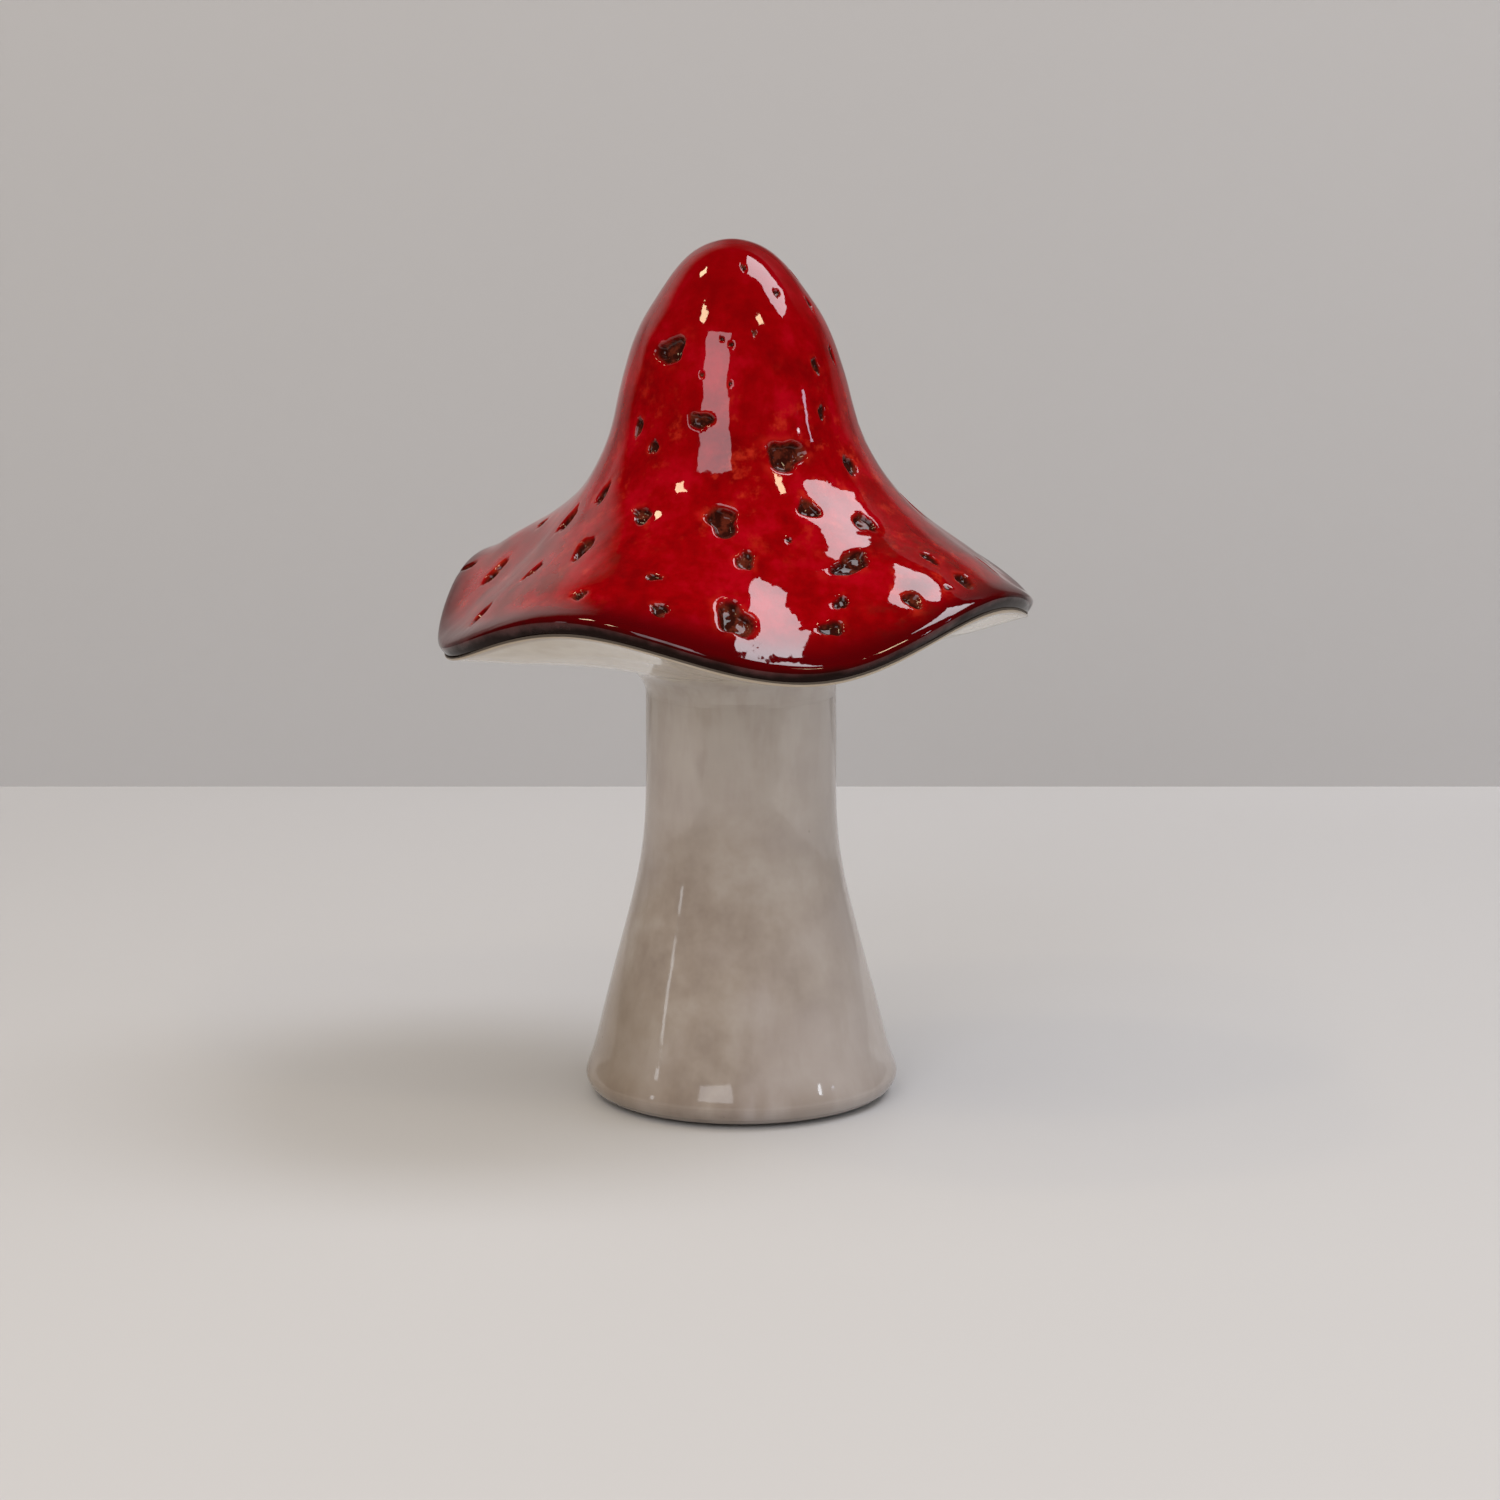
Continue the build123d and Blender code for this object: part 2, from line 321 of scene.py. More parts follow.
# How far above the rim the inner skin starts, and how far in from the rim's edge the land does
INSIDE_START, LAND_INSET = 8.0, 0.3
# Share of the cap's radius, and of the rise above the rim
BELL_SHARES = [
    (0.112, 0.976), (0.180, 0.930), (0.248, 0.858), (0.311, 0.776), (0.355, 0.684),
    (0.391, 0.582), (0.424, 0.479), (0.472, 0.397), (0.535, 0.325), (0.627, 0.253),
    (0.726, 0.192), (0.840, 0.130), (0.936, 0.075),
]
rise = CAP_HEIGHT - RIM_HEIGHT
bell = [(CAP_RADIUS * across, RIM_HEIGHT + rise * up) for across, up in BELL_SHARES]
rim = [(CAP_RADIUS, RIM_HEIGHT + RIM_ROLL), (SEAM_RADIUS, RIM_HEIGHT)]
mirrored = [(-bell[0][0], bell[0][1]), (0, CAP_HEIGHT)]
outside = spline(mirrored + bell + rim)
outside = even(outside[outside[:, 0] > OUTER_POLE], BELL_STEP)

along = np.gradient(outside, axis=0)
along /= np.linalg.norm(along, axis=1, keepdims=True)
inside = outside + np.stack([along[:, 1], -along[:, 0]], 1) * WALL
inside = inside[outside[:, 1] > RIM_HEIGHT + INSIDE_START]
inside = even(inside[inside[:, 0] > INNER_POLE], INSIDE_STEP)[::-1]
land = np.array([outside[-1] - [LAND_INSET, 0], [SEAM_RADIUS - WALL, RIM_HEIGHT]])
land = even(land, LAND_STEP)
print(f"Path from crown to rim: {BELL_STEP * (len(outside) - 1):.0f} mm")

# %% [markdown]
# The glaze has pooled in pits. They could be painted on, but a glossy glaze shows every hollow, so
# they are dug into the mesh. Those on the front are measured on the photograph, and those on the
# back are a guess of the same kind. Places are shares of the way from the crown to the rim.

# %% Places of the pits
# Azimuth, share of the way, width and length in millimetres
FRONT_PITS = [
    (231.5, 0.299, 8.8, 8.6), (254, 0.436, 6.4, 4.9), (293, 0.509, 10.1, 9.2),
    (265.5, 0.639, 9.0, 8.4), (236.5, 0.644, 6.2, 5.6), (296.5, 0.619, 5.8, 5.8),
    (314.5, 0.676, 5.2, 7.0), (302, 0.755, 11.0, 6.8), (272.5, 0.723, 5.3, 5.2),
    (269.5, 0.863, 9.4, 11.0), (253.5, 0.888, 5.3, 4.0), (290.5, 0.878, 6.2, 4.6),
    (309.5, 0.890, 4.6, 5.4), (249.5, 0.806, 4.2, 2.6), (234, 0.885, 4.2, 3.6),
    (221.5, 0.735, 5.6, 8.6), (206, 0.785, 3.6, 6.8), (177, 0.836, 6.0, 8.0),
    (199.5, 0.893, 4.2, 7.6), (163.5, 0.940, 3.0, 6.0), (194.5, 0.659, 6.0, 9.0),
    (167.5, 0.735, 3.0, 4.0), (210, 0.598, 3.2, 7.2), (231, 0.492, 3.0, 4.2),
    (219, 0.456, 2.7, 6.2), (319.5, 0.341, 2.6, 4.6), (316.5, 0.434, 2.2, 4.4),
    (325, 0.549, 4.2, 6.8), (339.5, 0.324, 2.2, 4.0), (308.5, 0.182, 2.0, 2.4),
    (340.5, 0.217, 2.0, 4.0), (356.5, 0.152, 2.0, 3.0), (177.5, 0.159, 2.0, 3.0),
    (283.5, 0.264, 1.6, 1.6), (264, 0.274, 1.3, 1.3), (269.5, 0.287, 1.4, 1.4),
    (253.5, 0.347, 1.2, 1.2), (268.5, 0.364, 1.2, 1.2), (284, 0.117, 1.6, 2.0),
    (1, 0.492, 3.0, 6.0), (1, 0.669, 6.4, 9.0), (322, 0.818, 3.2, 5.6),
    (324.5, 0.900, 5.3, 6.0), (350, 0.860, 4.6, 6.6), (294.5, 0.831, 4.0, 4.0),
    (286.5, 0.678, 1.6, 1.6), (318.5, 0.902, 1.4, 2.2),
]
BACK_PITS = [
    (35, 0.60, 8.4, 7.6), (20, 0.84, 7.4, 6.0), (68, 0.48, 9.2, 8.0), (75, 0.76, 6.2, 6.6),
    (98, 0.87, 9.0, 7.4), (112, 0.36, 7.8, 7.0), (122, 0.62, 6.6, 8.2), (138, 0.80, 8.6, 6.4),
    (152, 0.50, 6.0, 6.6), (22, 0.38, 5.6, 5.2), (48, 0.90, 4.2, 4.0), (58, 0.70, 3.4, 4.4),
    (85, 0.58, 4.0, 4.4), (104, 0.72, 3.0, 3.2), (128, 0.92, 3.6, 3.0), (92, 0.24, 4.4, 4.0),
    (146, 0.30, 2.4, 2.8), (48, 0.22, 2.0, 2.2), (132, 0.44, 2.6, 3.4), (62, 0.34, 1.6, 1.6),
]
print(f"Pits: {len(FRONT_PITS)} on the front, {len(BACK_PITS)} on the back")

# %% [markdown]
# Each pit has a lip that wanders in and out, steep walls and an uneven floor, and the glaze dips a
# little all round it, which is why highlights bend near a pit. Every part of a pit follows from one
# number: how far out a point lies, where 1 is the lip.

# %% Outline of one pit
# How many lobes go round the lip, and how far they stand out
LIP_LOBES = [(2, 0.16), (3, 0.13), (5, 0.06)]


def soften(share):
    """Eases in and out between 0 and 1."""
    return share * share * (3 - 2 * share)


def how_far_out(x, y, phases):
    """0 in a pit's middle and 1 on its lip, which has two, three and five soft lobes."""
    turn, edge = np.arctan2(y, x), 1
    for (count, size), phase in zip(LIP_LOBES, phases):
        edge = edge + size * np.cos(count * turn + phase)
    return np.hypot(x, y) / edge


print(f"A lip's lobes stand out by {sum(size for _, size in LIP_LOBES):.0%} at most")

# %% [markdown]
# The bowl eases from the lip to the floor, and is deeper in a larger pit, up to a limit. The dip
# around it reaches half as far again. One mask remembers how deep in a pit a point lies, and a
# second one how close to a lip it is, so that the glaze's colour can follow the shape exactly.

# %% Digging the pits
PIT_SEED = 11
# Edges, slopes and reaches are all told by how far out a point lies
BOWL_EDGE, BOWL_SLOPE = 1.08, 0.5
DIP_REACH, DIP_SHARE = 1.55, 0.07
STAIN_EDGE, STAIN_SLOPE = 1.02, 0.22
THIN_PLACE, THIN_BREADTH = 1.15, 0.30
# Depth for each millimetre of width, up to the deepest in millimetres
DEPTH_SHARE, DEEPEST = 0.27, 2.3
# Near the crown, widths round the axis are measured at no smaller radius than this
CROWN_RADIUS = 1
FLOOR_HUMPS = [(0.22, 2.4, 5), (0.05, 1.1, 6)]


def dig(grid, path, pits):
    """Pushes pits into the skin. Returns the new grid and two masks: in a pit, and near a lip."""
    rng = np.random.default_rng(PIT_SEED)
    azimuths = np.arange(grid.shape[1]) * 360 / grid.shape[1]
    length = BELL_STEP * (len(path) - 1)
    down = np.linspace(0, length, len(path))[:, None]
    depth, pit, lip = (np.zeros(grid.shape[:2]) for _ in range(3))
    for azimuth, share, width, tall in pits:
        side = (azimuths - azimuth + 180) % 360 - 180
        across = np.radians(side)[None, :] * np.maximum(path[:, :1], CROWN_RADIUS)
        phases = rng.uniform(0, 2 * np.pi, len(LIP_LOBES))
        out = how_far_out(across / (width / 2), (down - share * length) / (tall / 2), phases)
        bowl = soften(np.clip((BOWL_EDGE - out) / BOWL_SLOPE, 0, 1))
        deep = min(DEPTH_SHARE * min(width, tall), DEEPEST)
        dip = DIP_SHARE * deep * np.exp(-((out / DIP_REACH) ** 4))
        depth = np.maximum(depth, deep * bowl + dip)
        pit = np.maximum(pit, np.clip((STAIN_EDGE - out) / STAIN_SLOPE, 0, 1))
        lip = np.maximum(lip, np.exp(-(((out - THIN_PLACE) / THIN_BREADTH) ** 2)))
    floor = unevenness(grid, FLOOR_HUMPS)
    depth = depth + pit * floor * np.clip(depth, 0, 1)
    return grid - normals_of(grid, False) * depth[..., None], pit, lip


print(f"A pit 6 mm wide is {min(DEPTH_SHARE * 6, DEEPEST):.1f} mm deep, and none is over {DEEPEST} mm")

# %% [markdown]
# A few soft swellings and dents, less than a millimetre high, break the big light panel's mirror
# image into the separate patches that the photograph shows. With the wobble they give the bell its
# last shape before the pits are dug. The wobble is lowered until it only takes clay away, so that
# the cap stays inside the CAD model's box. All of it fades out at the crown and at the rim.

# %% Swellings of the bell
CROWN_COLUMNS = 720
BELL_HUMPS = [(0.055, 9, 1), (0.11, 22, 2), (0.018, 4, 9)]
# Azimuth, share of the way, breadth and height in millimetres
SWELLS = [
    (312.8, 0.810, 7.8, 0.70), (295.9, 0.643, 6.4, 0.66), (284.9, 0.906, 7.3, -0.70),
    (285.2, 0.830, 10.7, -0.59), (281.6, 0.795, 5.2, -0.51), (310.1, 0.696, 4.0, -0.44),
    (310.8, 0.614, 4.5, -0.39), (302.9, 0.552, 4.0, -0.54),
]
# Shares of the way in which the unevenness fades out
CROWN_CALM, RIM_CALM = 0.03, 0.06
crown = rippled(outside, CROWN_COLUMNS)
share = np.linspace(0, 1, len(outside))[:, None] * np.ones(CROWN_COLUMNS)
uneven = unevenness(crown, BELL_HUMPS)
uneven -= uneven.max()
for azimuth, at, breadth, height in SWELLS:
    middle = crown[round(at * (len(outside) - 1)), round(azimuth * CROWN_COLUMNS / 360)]
    away = np.linalg.norm(crown - middle, axis=-1)
    uneven += height * np.exp(-((away / breadth) ** 2) / 2)
uneven *= np.clip(share / CROWN_CALM, 0, 1) * np.clip((1 - share) / RIM_CALM, 0, 1)
crown = crown + normals_of(crown, False) * uneven[..., None]
print(f"The bell's skin moves by {uneven.min():.2f} to {uneven.max():.2f} mm")

# %% [markdown]
# Now the pits go in, the hidden rows of the rim's land and of the inside are added below, and the
# whole grid becomes one mesh. It replaces the CAD model's red casting and rides on the same body.

# %% Cap
crown, pit_mask, lip_mask = dig(crown, outside, FRONT_PITS + BACK_PITS)
hidden = rippled(np.concatenate([land, inside]), CROWN_COLUMNS)
blank = np.zeros(hidden.shape[:2])
masks = {
    "pit": np.concatenate([pit_mask, blank]),
    "lip": np.concatenate([lip_mask, blank]),
    "path": np.concatenate([share, blank + 1]),
}
cap = skin("cap", lean(np.concatenate([crown, hidden])), False, masks)
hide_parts("cap_shell")
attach(cap, "root")

# %% [markdown]
# The lower casting is a cream dish that ripples with the brim. It curls in from the rim, slopes
# down to the neck and turns into it with a soft fillet, like a real cap meeting its stalk.
# Its collar stands on the stem, and a spigot inside the collar drops into the stem's bore.
# The collar's glaze laps over the joint, so a thin lip hides the slip that lutes the two.

# %% Outline of the underside
NECK_RADIUS, STEM_WALL, LUTE = 25.4, 5.0, 0.6
DISH_HEIGHT, NECK_FILLET, INNER_FILLET = 7.1, 9.0, 7.0
SPIGOT_LENGTH, SPIGOT_WALL, SPIGOT_BEND = 9.0, 3.5, 0.4
# The cream lip at the rim: its height, how far in it runs out, and its two bends
LIP, LIP_REACH, LIP_BEND, LIP_EASE = 0.55, 16.0, 0.23, 40.0
RIM_BEND, SEAM_BEND, LAND_BEND, CRISP = 1.8, 0.2, 1.0, 0.03
COLLAR_LAP, UNDER_STEP = 0.4, 1.0
# A closed outline starts on a flat, this far from the flat's end
FLAT_START = 1
seat = RIM_HEIGHT - LUTE
spigot = NECK_RADIUS - STEM_WALL - LUTE
throat = spigot - SPIGOT_WALL
lap = NECK_RADIUS - COLLAR_LAP
slope = (seat - RIM_BEND - DISH_HEIGHT) / (SEAM_RADIUS - NECK_RADIUS)
lift = WALL * math.hypot(1, slope)
land_radius = SEAM_RADIUS - WALL


def dish(radius, above=0.0):
    """Height of the dish's slope at a radius."""
    return DISH_HEIGHT + (radius - NECK_RADIUS) * slope + above


under_line = rounded([
    (land_radius + FLAT_START, seat, 0),
    (SEAM_RADIUS, seat, SEAM_BEND),
    (SEAM_RADIUS, seat - LIP, LIP_BEND),
    (SEAM_RADIUS - LIP_REACH, dish(SEAM_RADIUS - LIP_REACH), LIP_EASE),
    (NECK_RADIUS, dish(NECK_RADIUS), NECK_FILLET),
    (NECK_RADIUS, 0, CRISP),
    (lap, 0, CRISP),
    (lap, LUTE, CRISP),
    (spigot, LUTE, SEAM_BEND),
    (spigot, -SPIGOT_LENGTH, SPIGOT_BEND),
    (throat, -SPIGOT_LENGTH, SPIGOT_BEND),
    (throat, dish(throat, lift), INNER_FILLET),
    (land_radius, dish(land_radius, lift), LAND_BEND),
    (land_radius, seat, 0),
], UNDER_STEP)
print(f"The dish rises {math.degrees(math.atan(slope)):.0f} degrees from the neck to the rim")

# %% [markdown]
# The dish leans with the cap, but its spigot has to stay upright in the stem's bore. So the lean
# eases in over the collar's first millimetres. A mask marks the last two millimetres at the rim,
# where the cream is painted browner as shade under the rolled rim.

# %% Cap underside
COLUMNS = 480
# Height at which the lean starts, and how far it takes to ease in
LEAN_START, LEAN_REACH = 0.5, 4.0
# The wobble fades out this close to the neck, and the rim's mask starts this far in from the seam
DISH_CALM = 12
RIM_START, RIM_REACH = 2.0, 1.4
DISH_HUMPS = [(0.10, 26, 3)]
under = rippled(under_line, COLUMNS)
radius, height = under_line[:, :1], under_line[:, 1:]
upright = soften(np.clip((height - LEAN_START) / LEAN_REACH, 0, 1))
calm = np.clip((radius - NECK_RADIUS) / DISH_CALM, 0, 1)
uneven = unevenness(under, DISH_HUMPS) * calm
under = under + normals_of(under, True) * uneven[..., None]
# This mask carries the painted shade under the rolled rim to the cream glaze
rim_shade_share = np.clip((radius - SEAM_RADIUS + RIM_START) / RIM_REACH, 0, 1) * np.ones(COLUMNS)
underside = skin("cap_underside_glazed", lean(under, upright), True, {"rim": rim_shade_share})
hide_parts("cap_underside")
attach(underside, "root")

# %% [markdown]
# The stem is a hollow casting. Its outline is a cylinder at the neck that bends into a steady
# flare, rolls under at the foot and rises again into a shallow recess with a vent hole, which let
# hot air out in the kiln. Its height and foot come from the CAD model's own box.

# %% Outline of the stem
low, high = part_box("stem")
FOOT_RADIUS, FOOT_ROLL = high[0] / MM, 4.5
FLARE, FLARE_BEND = math.radians(14.5), 126.0
FOOT_DISH, FOOT_DISH_RADIUS, BASE, VENT = 2.5, 26.9, 5.0, 6.0
STAND_BEND, DISH_BEND, VENT_BEND, VENT_TOP_BEND, BORE_BEND = 0.5, 0.8, 0.6, 0.4, 0.08
STEM_STEP = 0.8
stand = low[2] / MM
roll_centre = FOOT_RADIUS - FOOT_ROLL
flank = roll_centre + FOOT_ROLL / math.cos(FLARE)
roll_height = stand + FOOT_ROLL
bend_height = roll_height + (flank - NECK_RADIUS) / math.tan(FLARE)
bore = NECK_RADIUS - STEM_WALL
inner_flank = flank - STEM_WALL / math.cos(FLARE)
inner_bend = roll_height + (inner_flank - bore) / math.tan(FLARE)
floor = stand + FOOT_DISH + BASE
stem_line = rounded([
    (NECK_RADIUS - FLAT_START, NECK_HEIGHT, 0),
    (NECK_RADIUS, NECK_HEIGHT, CRISP),
    (NECK_RADIUS, bend_height, FLARE_BEND),
    (flank + (roll_height - stand) * math.tan(FLARE), stand, FOOT_ROLL),
    (FOOT_DISH_RADIUS, stand, STAND_BEND),
    (FOOT_DISH_RADIUS, stand + FOOT_DISH, DISH_BEND),
    (VENT, stand + FOOT_DISH, VENT_BEND),
    (VENT, floor, VENT_TOP_BEND),
    (inner_flank + (roll_height - floor) * math.tan(FLARE), floor, FOOT_ROLL),
    (bore, inner_bend, FLARE_BEND + STEM_WALL),
    (bore, NECK_HEIGHT, BORE_BEND),
    (NECK_RADIUS - FLAT_START, NECK_HEIGHT, 0),
], STEM_STEP)
print(f"The stem is {2 * NECK_RADIUS:.1f} mm wide at the neck and {2 * FOOT_RADIUS:.1f} mm at the foot")

# %% [markdown]
# Just above the foot the clay swells slightly, as it does in the photograph, where that swelling
# catches a small bright reflection. The wobble fades out at the neck and at the foot, so that the
# joint stays tight and the stem stands flat.

# %% Stem
FOOT_SWELL, SWELL_HEIGHT, SWELL_REACH, SWELL_START = 0.52, 6.8, 3.6, 1.5
STEM_HUMPS = [(0.12, 30, 7), (0.035, 10, 8)]
# The wobble fades out over these lengths at the neck and at the foot, and the last bit is still
NECK_CALM, FOOT_CALM, FOOT_STILL = 12, 4, 1
swell = FOOT_SWELL * np.exp(-(((stem_line[:, 1] - SWELL_HEIGHT) / SWELL_REACH) ** 2))
outer = (stem_line[:, 0] > inner_flank) & (stem_line[:, 1] > stand + SWELL_START)
stem_line[:, 0] += np.where(outer, swell, 0)
body = turned(stem_line[:-1], COLUMNS)
height = stem_line[:-1, 1:]
calm = np.clip((NECK_HEIGHT - height) / NECK_CALM, 0, 1)
calm = calm * np.clip((height - stand - FOOT_STILL) / FOOT_CALM, 0, 1)
uneven = unevenness(body, STEM_HUMPS) * calm
stem = skin("stem_glazed", body + normals_of(body, True) * uneven[..., None], True)
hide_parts("stem")
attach(stem, "root")

# %% [markdown]
# Three self-adhesive felt discs keep the glazed foot off the table. They show only as a thin dark
# line. Felt is compressed at its cut edge, so each disc gets a soft shoulder and a fuzzy side.

# %% Felt pads
PAD_RADIUS, PAD_COUNT, PAD_FIRST = 4.5, 3, 90
PAD_POLE, PAD_TOP_BEND, PAD_FOOT_BEND = 0.05, 0.25, 0.2
PAD_STEP, PAD_COLUMNS = 0.2, 72
# The fuzz narrows a disc by a share of its width that wavers round its side
FUZZ, FUZZ_SIZE, FUZZ_SEED, FUZZ_LIMIT = 0.05, 0.5, 20, 0.02
pad_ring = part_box("foot_pads")[1][1] / MM - PAD_RADIUS
pad_line = rounded([
    (PAD_POLE, stand, 0), (PAD_RADIUS, stand, PAD_TOP_BEND),
    (PAD_RADIUS, 0, PAD_FOOT_BEND), (PAD_POLE, 0, 0),
], PAD_STEP)
for number in range(PAD_COUNT):
    disc = turned(pad_line, PAD_COLUMNS)
    fuzz = unevenness(disc, [(FUZZ, FUZZ_SIZE, FUZZ_SEED + number)])[..., None]
    disc[..., :2] *= 1 + np.clip(fuzz, -FUZZ_LIMIT, 0)
    azimuth = math.radians(PAD_FIRST + number * 360 / PAD_COUNT)
    disc += [pad_ring * math.cos(azimuth), pad_ring * math.sin(azimuth), 0]
    pad = skin(f"felt_pad_{number + 1}", disc, False)
    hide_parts("foot_pads")
    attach(pad, "root")

# %% [markdown]
# A shader is a small machine of connected nodes. To keep the recipes short, one helper adds a node
# with its settings and fills its inputs. An input takes a plain value or another node's output.

# %% Adding nodes
def fill(tree, socket, value):
    """Gives a socket a plain value, or links another node's output to it."""
    if isinstance(value, bpy.types.NodeSocket):
        tree.links.new(value, socket)
    else:
        socket.default_value = value


def add(tree, kind, inputs=None, **settings):
    """Adds a node, sets it up and fills its inputs with values or with other nodes' outputs."""
    node = tree.nodes.new("ShaderNode" + kind)
    for name, value in settings.items():
        setattr(node, name, value)
    for name, value in (inputs or {}).items():
        fill(tree, node.inputs[name], value)
    return node


print("Pieces so far:", ", ".join(piece.name for piece in (cap, underside, stem, pad)))

# %% [markdown]
# A node group is like a function: it has named inputs and outputs, and each glaze can use it with
# its own numbers. One helper makes a group, and one puts it into a shader.

# %% Groups of nodes
def group(name, inputs, outputs):
    """A node group: returns its tree, its input sockets and its output sockets."""
    tree = bpy.data.node_groups.new(name, "ShaderNodeTree")
    for label, kind, value in inputs:
        socket = tree.interface.new_socket(label, in_out="INPUT", socket_type="NodeSocket" + kind)
        if value is not None:
            socket.default_value = value
    for label, kind in outputs:
        tree.interface.new_socket(label, in_out="OUTPUT", socket_type="NodeSocket" + kind)
    start, end = tree.nodes.new("NodeGroupInput"), tree.nodes.new("NodeGroupOutput")
    return tree, start.outputs, end.inputs


def use(tree, name, inputs):
    """Puts a group in a shader and fills its inputs."""
    return add(tree, "Group", inputs, node_tree=bpy.data.node_groups[name]).outputs


print("Groups so far:", len(bpy.data.node_groups))

# %% [markdown]
# Most of a glaze's look is masks and colours. A mask is a number between 0 and 1 over the surface.
# It can be a noise, a height or a distance, eased between two limits. The product of two masks
# holds only where both do, and their maximum where either does.

# %% Masks
def math_node(tree, operation, first, second=0.0):
    """One sum, product, difference and so on."""
    return add(tree, "Math", {0: first, 1: second}, operation=operation).outputs[0]


def times(tree, first, second):
    """The product of two values. For masks it means both at once."""
    return math_node(tree, "MULTIPLY", first, second)


def step_up(tree, value, start, end):
    """Eases from 0 to 1 while a value goes from start to end."""
    inputs = {"Value": value, "From Min": start, "From Max": end}
    return add(tree, "MapRange", inputs, interpolation_type="SMOOTHSTEP").outputs["Result"]


def noise(tree, place, size, detail=3.0, roughness=0.55):
    """Cloudy noise with patches of about this size in metres."""
    inputs = {"Vector": place, "Scale": 1 / size, "Detail": detail, "Roughness": roughness}
    return add(tree, "TexNoise", inputs).outputs["Fac"]


print(f"Patches of 10 mm take a noise scale of {1 / (10 * MM):.0f}")

# %% [markdown]
# Colours are laid over each other like thin washes of paint: a mask says how much of the second
# one covers the first. A ramp gives a value its colour from a row of a few. The numbers are linear
# light, in which a middle grey is about 0.21.

# %% Colours
def colour(red, green, blue):
    """An opaque colour in linear light."""
    return (red, green, blue, 1.0)


def blend(tree, amount, first, second):
    """Mixes two colours."""
    return add(tree, "Mix", {"Factor": amount, 6: first, 7: second}, data_type="RGBA").outputs[2]


def ramp(tree, value, stops):
    """Turns a value into a colour: a row of (place, colour) from low to high."""
    node = add(tree, "ValToRGB", {"Fac": value})
    elements = node.color_ramp.elements
    for at, _ in stops[1:-1]:
        elements.new(at)
    for element, (at, shade) in zip(elements, stops):
        element.position = at
        element.color = shade
    return node.outputs["Color"]


print("A middle grey is", colour(0.21, 0.21, 0.21))

# %% [markdown]
# Every material starts empty, with the place of each point on its piece, and every glaze ends in
# the same way: a smooth glassy surface over a coloured body. One shader does both, as its specular
# layer is the glass and its base colour is the body below.

# %% Starting a material and finishing a glaze
def new_material(name):
    """An empty material: returns it, its tree, its output and the place of each point."""
    material = bpy.data.materials.new(name)
    material.use_nodes = True
    tree = material.node_tree
    tree.nodes.clear()
    place = add(tree, "TexCoord").outputs["Object"]
    return material, tree, add(tree, "OutputMaterial"), place


def finish(tree, output, inputs):
    """Ends a material in one Principled shader."""
    shader = add(tree, "BsdfPrincipled", inputs)
    tree.links.new(shader.outputs["BSDF"], output.inputs["Surface"])


def finish_glaze(tree, output, base, roughness, normal, ior=1.52, shine=0.5):
    """Ends a material as a glossy glaze: a smooth glassy surface over a coloured body."""
    inputs = {"Base Color": base, "Roughness": roughness, "IOR": ior, "Normal": normal}
    finish(tree, output, inputs | {"Specular IOR Level": shine})


print("Materials so far:", len(bpy.data.materials))

# %% [markdown]
# Fired glaze is never optically flat: it has a faint orange peel, too fine for mesh. So a shared
# group turns a fine noise into a normal, and each glaze says how strong and how large its peel is.

# %% Group: fine glaze surface
PEEL_DEPTH = 0.001
tree, given, result = group(
    "glaze surface",
    [("Place", "Vector", None), ("Peel", "Float", 0.05), ("Peel size", "Float", 0.004)],
    [("Normal", "Vector")],
)
scale = math_node(tree, "DIVIDE", 1.0, given["Peel size"])
peel = add(tree, "TexNoise", {"Vector": given["Place"], "Scale": scale, "Detail": 2.0})
bumps = {"Strength": given["Peel"], "Distance": PEEL_DEPTH, "Height": peel.outputs["Fac"]}
bump = add(tree, "Bump", bumps)
tree.links.new(bump.outputs["Normal"], result["Normal"])
print("Group:", tree.name, "with", len(tree.nodes), "nodes")

# %% [markdown]
# The stem was painted with a thin cloudy wash before glazing: taupe with mauve and grey in it, and
# faint streaks along the brush's way. Stretching the noise's place along the stem turns its patches
# into streaks. It is a group because the wash also laps a little way up the cap's collar.

# %% Group: taupe wash, its clouds and streaks
DARK_TAUPE, TAUPE = colour(0.262, 0.216, 0.188), colour(0.335, 0.285, 0.250)
PALE_TAUPE, MAUVE = colour(0.405, 0.362, 0.330), colour(0.362, 0.316, 0.312)
STREAK_BROWN = colour(0.250, 0.200, 0.165)
tree, given, result = group("taupe wash", [("Place", "Vector", None)], [("Color", "Color")])
place = given["Place"]
cloud = noise(tree, place, 0.019, 4.0, 0.6)
brushed = add(tree, "Mapping", {"Vector": place, "Scale": (1.0, 1.0, 0.22)}).outputs["Vector"]
streak = noise(tree, brushed, 0.006, 3.0)
wash = ramp(tree, cloud, [(0.32, DARK_TAUPE), (0.50, TAUPE), (0.70, PALE_TAUPE)])
mauve = step_up(tree, noise(tree, place, 0.045, 2.0), 0.42, 0.62)
wash = blend(tree, times(tree, mauve, 0.5), wash, MAUVE)
streaks = times(tree, step_up(tree, streak, 0.48, 0.68), 0.22)
wash = blend(tree, streaks, wash, STREAK_BROWN)
print("Clouds and streaks:", len(tree.nodes), "nodes")

# %% [markdown]
# A few dark specks of iron have burnt through the wash. Small cells, kept only where a second,
# slower noise is high, come out rare and uneven. A darker brush stroke runs round the foot.

